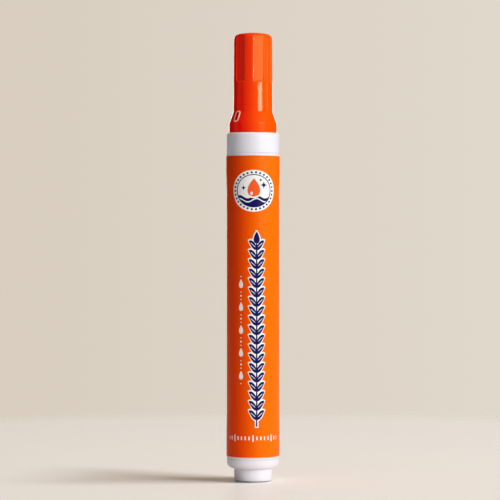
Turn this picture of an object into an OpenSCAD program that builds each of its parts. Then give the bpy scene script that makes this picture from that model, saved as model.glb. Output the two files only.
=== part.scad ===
// Press-tip liquid pen for treating stains. It stands on its foot with the cap on.
// Millimetres, +Z up, origin at the centre of the foot's underside, front of the label on -Y.
// The pen is a stack of turned pieces on one axis. Each outline is a list of
// [radius, height, ease], where ease is the radius of that corner's round:
// above 0 on an outside corner, below 0 in an inside corner, and 0 where it stays sharp.

/* [End plug] */
// Diameter of the foot that the pen stands on
foot_d = 11.3; // [9:0.1:12.5]
// Height of the foot
foot_h = 3.9; // [2:0.05:6]
// Round on the foot's lower edge
foot_edge = 0.6; // [0.2:0.1:1.2]
// Diameter of the shallow recess under the foot
foot_recess_d = 7.6; // [4:0.1:8.4]
// Depth of the recess under the foot
foot_recess_h = 0.3; // [0.1:0.05:0.6]
// Fillet between the foot and the shoulder
foot_fillet = 0.2; // [0.1:0.05:0.4]
// Round of the shoulder above the foot
shoulder_round = 1.9; // [0.5:0.1:2.5]
// Height of the straight rim between the shoulder and the barrel
plug_rim_h = 1; // [0.5:0.05:3]
// Step in from the barrel's skin to the plug's rim
plug_rim_step = 0.03; // [0:0.01:0.2]
// Wall of the plug
plug_wall = 1.1; // [0.8:0.05:1.5]
// Floor of the plug above the recess
plug_floor = 1; // [0.6:0.1:2]
// Length of the plug inside the barrel
plug_spigot_h = 8; // [5:0.5:12]

/* [Barrel] */
// Outer diameter of the barrel along its grip
barrel_d = 15.5; // [14.8:0.1:16.5]
// Wall of the barrel along its grip
barrel_wall = 1.1; // [0.8:0.05:1.3]
// Length of the barrel
barrel_h = 91.15; // [84:0.05:110]
// Swell of the barrel's radius where the front section is pressed in
mouth_swell = 0.19; // [0:0.01:0.4]
// Length of the swollen mouth
mouth_swell_h = 6; // [3:0.5:10]
// Swell of the barrel's radius where the end plug is pressed in
tail_swell = 0.095; // [0:0.005:0.4]
// Length of the swollen tail
tail_swell_h = 8; // [3:0.5:12]
// Length over which each swell fades out
swell_taper_h = 5.5; // [2:0.5:10]
// Round on the barrel's ends
barrel_edge = 0.25; // [0.1:0.05:0.4]

/* [Label] */
// Thickness of the printed sleeve
label_t = 0.12; // [0.05:0.01:0.3]
// Bare barrel beyond each end of the sleeve
label_inset = 0.75; // [0.2:0.05:3]

/* [Front section] */
// Step in from the barrel's mouth to the white collar
collar_step = 0.06; // [0.02:0.01:0.4]
// Height of the collar
collar_h = 6.25; // [4:0.05:10]
// Round on the collar's upper edge
collar_edge = 0.8; // [0.2:0.1:1]
// Length of the section inside the barrel
section_spigot_h = 11; // [9:0.5:11]
// Wall of the section inside the barrel
section_wall = 1.62; // [1.4:0.02:1.7]
// Diameter of the neck that the cap slips over
neck_d = 11.5; // [10.8:0.1:11.8]
// Height of the neck
neck_h = 3; // [2.4:0.1:3.2]
// How far the cap's snap bead stands out of the neck
bead_proud = 0.23; // [0.1:0.01:0.25]
// Radius of the snap bead's cross-section
bead_r = 0.4; // [0.3:0.05:0.6]
// Height of the cone above the neck
nose_cone_h = 4.2; // [3.5:0.1:6]
// Step in from the nose's root to its land
nose_root_step = 0.25; // [0.1:0.01:0.4]
// Height of the nose's root above its cone
nose_root_h = 2.1; // [1:0.1:3]
// Diameter of the land that the seal cup closes on
land_d = 7.4; // [7:0.05:7.6]
// Height of the land
land_h = 4.3; // [3:0.1:6]
// Diameter of the nose's tip
nose_tip_d = 6.6; // [6.3:0.05:6.9]
// Height of the taper from the land to the tip
nose_taper_h = 3.2; // [2:0.1:4]

/* [Seal rings] */
// Width of the groove for each rubber ring
ring_groove_w = 1.4; // [1.2:0.05:1.8]
// Depth of the groove for each rubber ring
ring_groove_depth = 0.85; // [0.6:0.05:0.9]
// Distance from a spigot's shoulder to the middle of its ring
ring_inset = 5; // [3:0.1:6]

/* [Nib] */
// Diameter of the felt nib
nib_d = 4.8; // [4:0.05:4.9]
// Length of the nib
nib_h = 20; // [19:0.1:21]
// Length of the nib outside the nose
nib_out = 4.6; // [4:0.1:5.2]
// Round of the nib's writing end
nib_round = 2; // [0.8:0.1:2.3]
// Number of flow grooves along the nib's bore
groove_count = 6; // [3:1:8]
// Width of each flow groove
groove_w = 0.8; // [0.5:0.05:1]
// Depth of each flow groove
groove_depth = 0.35; // [0.2:0.05:0.45]

/* [Valve] */
// How far the nib can be pressed in
travel = 1.8; // [1:0.1:2.2]
// Depth of the seat's upper face below the collar's top
seat_depth = 2.4; // [1.5:0.1:3.5]
// Thickness of the soft seat
seat_t = 1.2; // [0.9:0.1:1.6]
// Diameter of the hole through the seat
seat_hole_d = 3.5; // [3.3:0.1:4]
// Chamfer that the plunger's cone closes on
seat_chamfer = 0.6; // [0.3:0.05:0.7]
// Diameter of the plunger's head
head_d = 5.8; // [5.5:0.1:6.4]
// Thickness of the head below its cone
head_t = 1.1; // [0.8:0.1:1.6]
// Diameter of the fluted stem that lifts the nib
stem_d = 3.1; // [2.6:0.05:3.2]
// Width of the four flow flutes in the stem
stem_flute_w = 0.8; // [0.5:0.05:1]
// Diameter of the plunger's tail
tail_d = 2.5; // [2:0.05:2.8]
// Step in to the case's bore from midway between the plunger's head and the case's skin
case_bore_step = 0.325; // [0.1:0.005:0.5]
// Length of the valve case
case_h = 12.6; // [12:0.1:13.5]
// Thickness of the spring retainer's plate
retainer_t = 1.6; // [1.2:0.1:2]
// Wall of the retainer's guide tube
guide_wall = 0.8; // [0.6:0.05:0.85]
// Number of flow slots through the retainer
slot_count = 4; // [3:1:6]
// Width of each flow slot
slot_w = 1.3; // [0.8:0.1:1.6]
// Wire of the valve spring
wire_d = 0.45; // [0.3:0.05:0.5]
// Mean diameter of the valve spring
spring_d = 5.2; // [5:0.05:5.4]
// Turns of the valve spring
spring_turns = 7; // [4:1:8]

/* [Cap] */
// Height of the cap
cap_h = 29.95; // [29:0.05:34]
// Diameter of the skirt
skirt_d = 14.3; // [14:0.1:15.2]
// Height of the skirt
skirt_h = 2.8; // [2:0.05:4]
// Height of the cone between the skirt and the grip
cap_cone_h = 3.45; // [2.5:0.1:5]
// Draft of the grip's diameter from the cone to the crown
grip_draft = 0.3; // [0:0.05:0.5]
// Wall of the grip, midway between the draft's ends
cap_wall = 1.2; // [1:0.05:1.3]
// Thickness of the crown
crown_t = 1.6; // [1:0.1:2]
// Rise of the crown's dome
crown_rise = 0.7; // [0.1:0.05:1]
// Round between the crown and the grip
crown_edge = 1.7; // [0.4:0.1:2]
// Round on the skirt's lower edge
skirt_edge = 0.3; // [0.1:0.05:0.4]
// Round where the skirt turns into the cone
cone_lower_ease = 0.7; // [0.2:0.1:1]
// Fillet where the cone turns into the grip
cone_upper_ease = 1.2; // [0.5:0.1:2]

/* [Cap flutes] */
// Number of flat flutes around the grip
flute_count = 6; // [4:1:8]
// Width of each flute
flute_w = 3.25; // [2:0.05:3.6]
// Depth of each flute at its middle
flute_depth = 0.4; // [0.2:0.05:0.5]
// Length of the flutes down from the crown
flute_h = 14.8; // [6:0.1:18]
// Turn of the first flute from the front, to the right
flute_turn = 18.3; // [0:0.1:60]

/* [Cap vents] */
// Number of vent slots through the cone
vent_count = 2; // [1:1:4]
// Turn of the first vent slot from the front, to the right
vent_turn = -47; // [-90:1:90]
// Height of the vents' middle above the cone's middle
vent_rise = 0.2; // [0:0.05:0.3]
// Width of each vent slot
vent_w = 1.05; // [0.6:0.05:1.4]
// Height of each vent slot
vent_h = 2.5; // [1.5:0.1:2.6]
// Width of the raised lip round each slot
vent_lip_w = 0.45; // [0.2:0.05:0.5]
// Height of the raised lip
vent_lip_h = 0.2; // [0.05:0.05:0.3]

/* [Seal cup] */
// Wall of the seal cup inside the cap
cup_wall = 0.65; // [0.5:0.05:0.7]
// Thickness of the cup's roof
cup_roof_t = 0.7; // [0.5:0.1:1]
// Free height between the cup's roof and the crown
cup_crown_gap = 1.15; // [0.4:0.05:3]
// Step out from the cup to the flange at its mouth
cup_flange_step = 0.18; // [0.1:0.01:0.3]
// Height of the flange at the cup's mouth
cup_flange_h = 0.8; // [0.5:0.1:1.2]
// Width of each rib that holds the cup
cup_rib_w = 0.9; // [0.5:0.1:1.4]

/* [Liquid] */
// Air space between the liquid and the end of the front section
air_h = 5.3; // [2:0.1:40]

/* [Fits] */
// Radial gap between a piece that slides and what guides it
running_gap = 0.05; // [0.02:0.01:0.1]
// Radial gap of a piece that is pressed or snapped home
snug_gap = 0.03; // [0.01:0.01:0.05]
// Gap on each side of a squeezed rubber ring
ring_gap = 0.015; // [0.005:0.005:0.03]
// Gap between the cap's rim and the collar
rim_gap = 0.05; // [0.02:0.01:0.2]
// Gap left at a closed valve seat or a stop
seal_gap = 0.05; // [0.03:0.01:0.1]

/* [Hidden] */
$fn = 120;
cap_color = "orangered";
label_color = "darkorange";
plastic_color = "ghostwhite";
rubber_color = "dimgray";
steel_color = "silver";
felt_color = "linen";
fluid_color = "lightblue";

// Overshoot of a cutter past the face that it cuts
over = 1;
// Reach of a corner's wedge past the corner, so that no edges coincide
wedge_reach = 0.05;

// Radii of the barrel and what fits it
barrel_r = barrel_d / 2;
bore_r = barrel_r - barrel_wall;
mouth_r = barrel_r + mouth_swell;
tail_r = barrel_r + tail_swell;
spigot_r = bore_r - snug_gap;
ring_r = (ring_groove_depth + snug_gap) / 2 - ring_gap;
ring_mid_r = bore_r - ring_gap - ring_r;

// Heights up the outside
plug_top_z = foot_h + shoulder_round + plug_rim_h;
plug_floor_z = foot_recess_h + plug_floor;
plug_end_z = plug_top_z + plug_spigot_h;
barrel_top_z = plug_top_z + barrel_h;
collar_top_z = barrel_top_z + collar_h;
section_end_z = barrel_top_z - section_spigot_h;
cap_z = collar_top_z + rim_gap;
cap_top_z = cap_z + cap_h;

// The nose
neck_top_z = collar_top_z + neck_h;
nose_cone_top_z = neck_top_z + nose_cone_h;
land_z = nose_cone_top_z + nose_root_h + nose_root_step;
land_top_z = land_z + land_h;
nose_tip_z = land_top_z + nose_taper_h;
nose_tip_edge = 0.4;

// The nib and its bore
nib_r = nib_d / 2;
nib_z = nose_tip_z + nib_out - nib_h;
nib_top_z = nib_z + nib_h;
nib_bore_r = nib_r + running_gap;
nib_bore_z = nib_z - 0.6;
passage_r = nib_bore_r + groove_depth + 0.1;

// The valve, from the seat down
socket_r = spigot_r - section_wall;
case_r = socket_r - running_gap;
seat_top_z = collar_top_z - seat_depth;
seat_z = seat_top_z - seat_t;
case_z = seat_z - case_h;
seat_hole_r = seat_hole_d / 2;
head_r = head_d / 2;
case_bore_r = (case_r + head_r) / 2 - case_bore_step;
// Radius of the plunger's cone at the seat's lower face
cone_at_seat_r = seat_hole_r + seat_chamfer - seal_gap * sqrt(2);
head_edge_z = seat_z - (head_r - cone_at_seat_r);
head_z = head_edge_z - head_t;
stem_r = stem_d / 2;
tail_r_plunger = tail_d / 2;
guide_r = tail_r_plunger + running_gap;
retainer_z = case_z + 0.2;
retainer_top_z = retainer_z + retainer_t;
retainer_r = case_bore_r - snug_gap;
retainer_bead = 0.2;
guide_top_z = head_z - travel - 2 * seal_gap;
tail_end_z = retainer_z;

// The seal cup's radii, out from the nose's land
cup_bore_r = land_d / 2 + running_gap;
cup_r = cup_bore_r + cup_wall;
cup_flange_r = cup_r + cup_flange_step;

// The cap
skirt_r = skirt_d / 2;
grip_bore_r = cup_flange_r + snug_gap;
grip_r = grip_bore_r + cap_wall + grip_draft / 4;
crown_r = grip_r - grip_draft / 2;
cone_z = cap_z + skirt_h;
cone_top_z = cone_z + cap_cone_h;
skirt_bore_r = neck_d / 2 + bead_proud + running_gap;
bead_z = collar_top_z + neck_h / 2;
crown_under_z = cap_top_z - crown_t;
flute_z = cap_top_z - flute_h;
vent_mid_z = cone_z + cap_cone_h / 2 + vent_rise;

// The seal cup's heights
cup_z = land_z + 0.35;
cup_top_z = crown_under_z - cup_crown_gap;
cup_roof_z = cup_top_z - cup_roof_t;

// The liquid
fluid_gap = 0.05;
fluid_well_r = foot_d / 2 - plug_wall - fluid_gap;
fluid_z = plug_floor_z + fluid_gap;
fluid_step_z = plug_end_z + fluid_gap;
fluid_r = bore_r - fluid_gap;
fluid_top_z = section_end_z - air_h;
fluid_volume = PI * (fluid_well_r^2 * (fluid_step_z - fluid_z) + fluid_r^2 * (fluid_top_z - fluid_step_z));

// A corner's round, no larger than the room beside it allows
function within(want, room) = min(want, room * 0.98);
function unit(v) = v / norm(v);

// The corner i places on from the first, or back from it, as [radius, height]
function corner(points, i) =
    let (n = len(points), p = points[(i + n) % n])
    [p[0], p[1]];
// Directions from a corner to the one before it and the one after it
function back(points, i) = unit(corner(points, i - 1) - corner(points, i));
function ahead(points, i) = unit(corner(points, i + 1) - corner(points, i));
function half_angle(points, i) = acos(back(points, i) * ahead(points, i)) / 2;
// The two places where a corner's round touches its sides
function touches(points, i) =
    let (side = abs(points[i][2]) / tan(half_angle(points, i)))
    [corner(points, i) + side * back(points, i), corner(points, i) + side * ahead(points, i)];
// The point on the corner's middle line at a distance from the corner
function inward(points, i, distance) =
    corner(points, i) + distance * unit(back(points, i) + ahead(points, i));

// The circle that rounds a corner
module corner_circle(points, i) {
    r = abs(points[i][2]);
    translate(inward(points, i, r / sin(half_angle(points, i))))
        circle(r = r);
}

// A closed outline with its corners eased
module eased_outline(points) {
    places = [0 : len(points) - 1];
    difference() {
        polygon([for (i = places) each points[i][2] < 0 ? touches(points, i) : [corner(points, i)]]);
        for (i = places)
            if (points[i][2] < 0)
                corner_circle(points, i);
        for (i = places)
            if (points[i][2] > 0)
                difference() {
                    polygon([
                        touches(points, i)[0],
                        inward(points, i, -wedge_reach),
                        touches(points, i)[1]
                    ]);
                    corner_circle(points, i);
                }
    }
}

// The outline turned about the pen's axis
module turned(points) {
    rotate_extrude()
        eased_outline(points);
}

// Copies around the axis, the first one turned to the right of the front
module around(count, first = 0) {
    for (i = [0 : count - 1])
        rotate([0, 0, first + i * 360 / count])
            children();
}

// A cylinder between two heights
module post(r, z0, z1) {
    translate([0, 0, z0])
        cylinder(r = r, h = z1 - z0);
}

// Groove for a rubber ring around a spigot
module ring_groove(z) {
    difference() {
        post(bore_r + over, z - ring_groove_w / 2, z + ring_groove_w / 2);
        post(spigot_r - ring_groove_depth, z - ring_groove_w / 2 - over, z + ring_groove_w / 2 + over);
    }
}

// Rubber ring in its groove
module rubber_ring(z) {
    rotate_extrude()
        translate([ring_mid_r, z])
            circle(r = ring_r, $fn = 32);
}

// The barrel's skin from bottom to top, moved out by a thickness and held back from the ends
function skin(out, inset) = [
    [tail_r + out, plug_top_z + inset],
    [tail_r + out, plug_top_z + tail_swell_h],
    [barrel_r + out, plug_top_z + tail_swell_h + swell_taper_h],
    [barrel_r + out, barrel_top_z - mouth_swell_h - swell_taper_h],
    [mouth_r + out, barrel_top_z - mouth_swell_h],
    [mouth_r + out, barrel_top_z - inset]
];

module barrel() {
    outer = skin(0, 0);
    last = len(outer) - 1;
    lead_in = 0.25;
    color(plastic_color)
        difference() {
            turned([
                [0, plug_top_z, 0],
                for (i = [0 : last]) [outer[i][0], outer[i][1], i == 0 || i == last ? barrel_edge : 0],
                [0, barrel_top_z, 0]
            ]);
            post(bore_r, plug_top_z - over, barrel_top_z + over);
            for (end = [[plug_top_z, 0], [barrel_top_z, 1]])
                translate([0, 0, end[0]])
                    mirror([0, 0, end[1]])
                        translate([0, 0, -lead_in])
                            cylinder(r1 = bore_r + 2 * lead_in, r2 = bore_r, h = 2 * lead_in);
        }
}

module label_sleeve() {
    glue = 0.01;
    outer = skin(label_t, label_inset);
    inner = skin(glue, label_inset);
    color(label_color)
        rotate_extrude()
            polygon([each outer, for (i = [len(inner) - 1 : -1 : 0]) inner[i]]);
}

module end_plug() {
    foot_r = foot_d / 2;
    rim_r = tail_r - plug_rim_step;
    shoulder = within(shoulder_round, rim_r - foot_r - foot_fillet);
    well_r = foot_r - plug_wall;
    lead_in = 0.5;
    color(plastic_color)
        difference() {
            turned([
                [0, 0, 0],
                [foot_r, 0, foot_edge],
                [foot_r, foot_h, -foot_fillet],
                [rim_r, foot_h, shoulder],
                [rim_r, plug_top_z, 0.15],
                [spigot_r, plug_top_z, 0],
                [spigot_r, plug_end_z - lead_in, 0],
                [spigot_r - lead_in, plug_end_z, 0],
                [0, plug_end_z, 0]
            ]);
            turned([
                [0, plug_floor_z, 0],
                [well_r, plug_floor_z, 0.5],
                [well_r, plug_end_z + over, 0],
                [0, plug_end_z + over, 0]
            ]);
            post(foot_recess_d / 2, -over, foot_recess_h);
            ring_groove(plug_top_z + ring_inset);
        }
}

module plug_ring() {
    color(rubber_color)
        rubber_ring(plug_top_z + ring_inset);
}

// Bore of the nose with its flow grooves
module nib_bore() {
    post(nib_bore_r, nib_bore_z - over, nose_tip_z + over);
    around(groove_count)
        translate([-groove_w / 2, -nib_bore_r - groove_depth, nib_bore_z - over])
            cube([groove_w, nib_bore_r, nose_tip_z - nib_bore_z + 2 * over]);
}

module front_section() {
    collar_r = mouth_r - collar_step;
    neck_r = neck_d / 2;
    land_r = land_d / 2;
    root_r = land_r + nose_root_step;
    lead_in = 0.5;
    color(plastic_color)
        difference() {
            union() {
                turned([
                    [0, section_end_z, 0],
                    [spigot_r - lead_in, section_end_z, 0],
                    [spigot_r, section_end_z + lead_in, 0],
                    [spigot_r, barrel_top_z, 0],
                    [collar_r, barrel_top_z, 0.15],
                    [collar_r, collar_top_z, collar_edge],
                    [neck_r, collar_top_z, -0.2],
                    [neck_r, neck_top_z, 0.4],
                    [root_r, nose_cone_top_z, -1],
                    [root_r, land_z - nose_root_step, 0],
                    [land_r, land_z, 0],
                    [land_r, land_top_z, 0.6],
                    [nose_tip_d / 2, nose_tip_z, nose_tip_edge],
                    [0, nose_tip_z, 0]
                ]);
                rotate_extrude()
                    translate([neck_r + bead_proud - bead_r, bead_z])
                        circle(r = bead_r, $fn = 32);
            }
            post(socket_r, section_end_z - over, seat_top_z);
            post(passage_r, seat_top_z - over, nib_bore_z);
            nib_bore();
            ring_groove(barrel_top_z - ring_inset);
        }
}

module section_ring() {
    color(rubber_color)
        rubber_ring(barrel_top_z - ring_inset);
}

module valve_case() {
    chamfer = 0.4;
    color(plastic_color)
        difference() {
            turned([
                [0, case_z, 0],
                [case_r - chamfer, case_z, 0],
                [case_r, case_z + chamfer, 0],
                [case_r, seat_z, 0],
                [0, seat_z, 0]
            ]);
            post(case_bore_r, case_z - over, seat_z + over);
            rotate_extrude()
                polygon([
                    [case_bore_r - over, retainer_z],
                    [case_bore_r, retainer_z],
                    [case_bore_r + retainer_bead, retainer_z + retainer_bead],
                    [case_bore_r + retainer_bead, retainer_top_z - retainer_bead],
                    [case_bore_r, retainer_top_z],
                    [case_bore_r - over, retainer_top_z]
                ]);
        }
}

module valve_seat() {
    color(rubber_color)
        difference() {
            post(case_r, seat_z, seat_top_z);
            post(seat_hole_r, seat_z - over, seat_top_z + over);
            translate([0, 0, seat_z - over])
                cylinder(
                    r1 = seat_hole_r + seat_chamfer + over,
                    r2 = seat_hole_r,
                    h = seat_chamfer + over
                );
        }
}

module spring_retainer() {
    bead_r = retainer_r + retainer_bead;
    slot_in = guide_r + guide_wall;
    slot_out = case_bore_r - 0.5;
    color(plastic_color)
        difference() {
            union() {
                rotate_extrude()
                    polygon([
                        [0, retainer_z],
                        [retainer_r, retainer_z],
                        [bead_r, retainer_z + retainer_bead],
                        [bead_r, retainer_top_z - retainer_bead],
                        [retainer_r, retainer_top_z],
                        [0, retainer_top_z]
                    ]);
                post(guide_r + guide_wall, retainer_z, guide_top_z);
            }
            post(guide_r, retainer_z - over, guide_top_z + over);
            around(slot_count)
                intersection() {
                    translate([-slot_w / 2, -slot_out, retainer_z - over])
                        cube([slot_w, slot_out, retainer_t + 2 * over]);
                    difference() {
                        post(slot_out, retainer_z - 2 * over, retainer_top_z + 2 * over);
                        post(slot_in, retainer_z - 3 * over, retainer_top_z + 3 * over);
                    }
                }
        }
}

// Spring wire: closer at both ends, where it beds on the head and the retainer
ring_steps = 12;
wire_sides = 6;
end_pitch_share = 0.35;
spring_low_z = retainer_top_z + wire_d / 2;
spring_rise = head_z - retainer_top_z - wire_d;
spring_pitch = spring_rise / (spring_turns - 1 + end_pitch_share);
function eased_rise(t) = end_pitch_share * t + (1 - end_pitch_share) * t^2 / 2;
function wire_rise(t) =
    t < 1 ? eased_rise(t) :
    t > spring_turns - 1 ? spring_turns - 1 + end_pitch_share - eased_rise(spring_turns - t) :
    t - 1 + eased_rise(1);
function wire_center(t) = [
    spring_d / 2 * cos(360 * t),
    spring_d / 2 * sin(360 * t),
    spring_low_z + spring_pitch * wire_rise(t)
];
wire_ts = [for (i = [0 : spring_turns * ring_steps]) i / ring_steps];
wire_line = [for (t = wire_ts) wire_center(t)];
// Least distance between the wire's surface and its next turn
wire_gap = min([
    for (i = [0 : len(wire_line) - 1])
        for (j = [i + 1 : len(wire_line) - 1])
            if (j - i > ring_steps / 2) norm(wire_line[i] - wire_line[j])
]) - wire_d;

function wire_ring(t) =
    let (
        out = [cos(360 * t), sin(360 * t), 0],
        step = 0.01,
        along = unit(wire_center(min(t + step, spring_turns)) - wire_center(max(t - step, 0))),
        up = unit(cross(out, along))
    )
    [for (k = [0 : wire_sides - 1])
        wire_center(t) + wire_d / 2 * (cos(360 * k / wire_sides) * out - sin(360 * k / wire_sides) * up)];

module valve_spring() {
    rings = len(wire_ts);
    last = (rings - 1) * wire_sides;
    color(steel_color)
        polyhedron(
            points = [for (t = wire_ts) each wire_ring(t)],
            faces = [
                for (i = [0 : rings - 2])
                    for (k = [0 : wire_sides - 1])
                        let (a = i * wire_sides + k, b = i * wire_sides + (k + 1) % wire_sides)
                            each [[a, b, a + wire_sides], [b, b + wire_sides, a + wire_sides]],
                for (k = [1 : wire_sides - 2]) [0, k + 1, k],
                for (k = [1 : wire_sides - 2]) [last, last + k, last + k + 1]
            ]
        );
    echo(least_gap_between_spring_turns = wire_gap);
}

module valve_plunger() {
    cone_end_z = seat_z + cone_at_seat_r - stem_r;
    tail_chamfer = 0.3;
    color(plastic_color)
        difference() {
            turned([
                [0, tail_end_z, 0],
                [tail_r_plunger - tail_chamfer, tail_end_z, 0],
                [tail_r_plunger, tail_end_z + tail_chamfer, 0],
                [tail_r_plunger, head_z, 0],
                [head_r, head_z, 0.15],
                [head_r, head_edge_z, 0],
                [stem_r, cone_end_z, 0],
                [stem_r, nib_z, 0],
                [0, nib_z, 0]
            ]);
            around(4, 45)
                translate([-stem_flute_w / 2, -stem_r - over, cone_end_z])
                    cube([stem_flute_w, stem_r / 2 + over, nib_z - cone_end_z + over]);
        }
}

module nib() {
    color(felt_color)
        turned([
            [0, nib_z, 0],
            [nib_r, nib_z, 0.3],
            [nib_r, nib_top_z, within(nib_round, nib_r)],
            [0, nib_top_z, 0]
        ]);
}

module cleaning_fluid() {
    color(fluid_color)
        turned([
            [0, fluid_z, 0],
            [fluid_well_r, fluid_z, 0.6],
            [fluid_well_r, fluid_step_z, 0],
            [fluid_r, fluid_step_z, 0],
            [fluid_r, fluid_top_z, 0],
            [0, fluid_top_z, 0]
        ]);
    echo(contents_in_cubic_millimetres = fluid_volume);
}

// Outline of the cap's outside, with its domed crown
module cap_outline() {
    dome_r = (crown_r^2 + crown_rise^2) / (2 * crown_rise);
    dome_z = cap_top_z - dome_r;
    edge_x = crown_r - crown_edge;
    edge_z = dome_z + sqrt((dome_r - crown_edge)^2 - edge_x^2);
    eased_outline([
        [0, cap_z, 0],
        [skirt_r, cap_z, skirt_edge],
        [skirt_r, cone_z, cone_lower_ease],
        [grip_r, cone_top_z, -cone_upper_ease],
        [crown_r, edge_z, 0],
        [0, edge_z, 0]
    ]);
    translate([edge_x, edge_z])
        circle(r = crown_edge);
    intersection() {
        translate([0, dome_z])
            circle(r = dome_r, $fn = 360);
        translate([0, edge_z - crown_edge / 2])
            square([edge_x * dome_r / (dome_r - crown_edge), 2 * crown_edge]);
    }
}

// Inside of the cap: the skirt's bore, the cone and the ribbed grip
module cap_bore() {
    rib_z = cup_z + cup_flange_h + snug_gap;
    rib_in = cup_r + snug_gap;
    cone_in_z = cone_z + 0.1;
    difference() {
        union() {
            turned([
                [0, cap_z - over, 0],
                [skirt_bore_r, cap_z - over, 0],
                [skirt_bore_r, cone_in_z, 0],
                [grip_bore_r, cone_top_z + 0.4, 0],
                [grip_bore_r, crown_under_z, 0.6],
                [0, crown_under_z, 0]
            ]);
            translate([0, 0, cap_z - 0.3])
                cylinder(r1 = skirt_bore_r + 0.6, r2 = skirt_bore_r, h = 0.6);
        }
        around(flute_count, flute_turn + 180 / flute_count)
            translate([-cup_rib_w / 2, -grip_bore_r - over, rib_z])
                cube([cup_rib_w, grip_bore_r + over - rib_in, crown_under_z - rib_z + over]);
    }
}

// Flat cut of one flute, with a sloping lower end
module flute_cut() {
    floor_y = -(crown_r - flute_depth);
    outside_y = -skirt_r - over;
    translate([flute_w / 2, 0, 0])
        rotate([90, 0, -90])
            linear_extrude(flute_w)
                polygon([
                    [-floor_y, flute_z + flute_depth],
                    [-floor_y, cap_top_z + over],
                    [-outside_y, cap_top_z + over],
                    [-outside_y, flute_z + flute_depth - (floor_y - outside_y)]
                ]);
}

// A rounded block through the cap's front wall, grown by a border
module vent_block(border) {
    w = vent_w + 2 * border;
    h = vent_h + 2 * border;
    round_r = vent_w * 0.4 + border;
    translate([0, -grip_bore_r + over, vent_mid_z])
        rotate([90, 0, 0])
            linear_extrude(skirt_r)
                union() {
                    square([w, h - 2 * round_r], center = true);
                    square([w - 2 * round_r, h], center = true);
                    for (x = [-1, 1], y = [-1, 1])
                        translate([x * (w / 2 - round_r), y * (h / 2 - round_r)])
                            circle(r = round_r, $fn = 32);
                }
}

// How far out the vents' lips reach: the cone and the grip above it, grown by the lip
module vent_lip_skin() {
    translate([0, 0, cone_z])
        cylinder(r1 = skirt_r + vent_lip_h, r2 = grip_r + vent_lip_h, h = cap_cone_h);
    post(grip_r + vent_lip_h, cone_top_z, cone_top_z + vent_h);
}

module cap_shell() {
    color(cap_color)
        difference() {
            union() {
                rotate_extrude()
                    cap_outline();
                around(vent_count, vent_turn)
                    intersection() {
                        vent_block(vent_lip_w);
                        vent_lip_skin();
                    }
            }
            cap_bore();
            around(flute_count, flute_turn)
                flute_cut();
            around(vent_count, vent_turn)
                vent_block(0);
        }
}

module cap_seal_cup() {
    lead_in = 0.3;
    color(plastic_color)
        difference() {
            turned([
                [0, cup_z, 0],
                [cup_flange_r, cup_z, 0.2],
                [cup_flange_r, cup_z + cup_flange_h, 0],
                [cup_r, cup_z + cup_flange_h, 0],
                [cup_r, cup_top_z, 0.5],
                [0, cup_top_z, 0]
            ]);
            turned([
                [0, cup_z - over, 0],
                [cup_bore_r, cup_z - over, 0],
                [cup_bore_r, cup_roof_z, 0.4],
                [0, cup_roof_z, 0]
            ]);
            translate([0, 0, cup_z - lead_in])
                cylinder(r1 = cup_bore_r + 2 * lead_in, r2 = cup_bore_r, h = 2 * lead_in);
        }
}

barrel();
label_sleeve();
end_plug();
plug_ring();
front_section();
section_ring();
valve_case();
valve_seat();
spring_retainer();
valve_spring();
valve_plunger();
nib();
cleaning_fluid();
cap_shell();
cap_seal_cup();
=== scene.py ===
"""Looks of a press-tip liquid pen that stands on its foot with its cap on.

Metres, +Z up, the front of the label on -Y. The pieces come from the frame. This script gives them
their finishes, winds the valve's spring as a smooth wire, and adds the floor, the backdrop, two dark
curtains, the lamps and the camera.
"""

import math

import bpy
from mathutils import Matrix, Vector


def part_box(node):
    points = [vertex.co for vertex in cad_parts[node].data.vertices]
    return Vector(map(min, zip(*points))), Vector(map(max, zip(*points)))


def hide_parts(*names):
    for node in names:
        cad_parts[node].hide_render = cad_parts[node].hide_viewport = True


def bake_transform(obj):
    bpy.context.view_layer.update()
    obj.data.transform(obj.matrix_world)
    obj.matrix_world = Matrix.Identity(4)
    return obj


MM = 0.001

# The view: an almost level camera on the pen's front, as seen in a square picture of 500 pixels
PICTURE_PX = 500
SENSOR_MM = 36
FOCAL_PX = 2194
MM_PER_PX = 0.30
AXIS_PX = 253
FOOT_PX = 480.5
HORIZON_PX = 240

# The floor: its side, and how far from the pen's axis it starts and ends to fade into the backdrop
FLOOR_SIZE = 6
FLOOR_FADE_START = 0.217
FLOOR_FADE_END = 0.272

# The upright lamps round the pen: degrees to the right of the camera, and metres. They face its axis
KEY = {"turn": 42, "away": 0.60, "width": 0.26, "low": 0.147, "high": 0.44, "radiance": 14.5}
STRIP = {"turn": 93, "away": 0.55, "width": 0.03, "low": 0.147, "high": 0.35, "radiance": 15}
FILL = {"turn": -82, "away": 0.60, "width": 0.30, "low": 0.02, "high": 0.42, "radiance": 0.35}
WHITE_FILL = {"turn": -108, "away": 0.60, "width": 0.30, "low": 0.02, "high": 0.42, "radiance": 0.3}
BACK = {"turn": 180, "away": 0.80, "width": 0.50, "low": 0.02, "high": 0.50, "radiance": 2.2}
GLINT = {"turn": 42, "away": 0.595, "width": 0.26, "low": 0.147, "high": 0.180, "radiance": 20}
BOUNCE = {"turn": -95, "away": 0.50, "width": 0.30, "low": 0.02, "high": 0.30, "radiance": 1.7}
# The lamps overhead, one for the pen and one for the floor, both a little to the right
TOP = {"size": 0.9, "height": 1.1, "radiance": 1.75}
FLOOR_TOP = {"size": 0.9, "height": 1.1, "radiance": 1.1}
TOP_ASIDE = 0.1
# The large soft lamp high on the right that draws the pen's shadow to the left along the floor
SHADOW_LAMP = {"turn": 77, "away": 0.84, "height": 2.0, "wide": 0.70, "deep": 0.36, "radiance": 56}
# The dark curtains, from one turn to another on both sides. Gloss shows them, which deepens the edges
FLAG = {"from": 62, "to": 159, "away": 0.95, "high": 0.75, "folds": 12}
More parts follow.
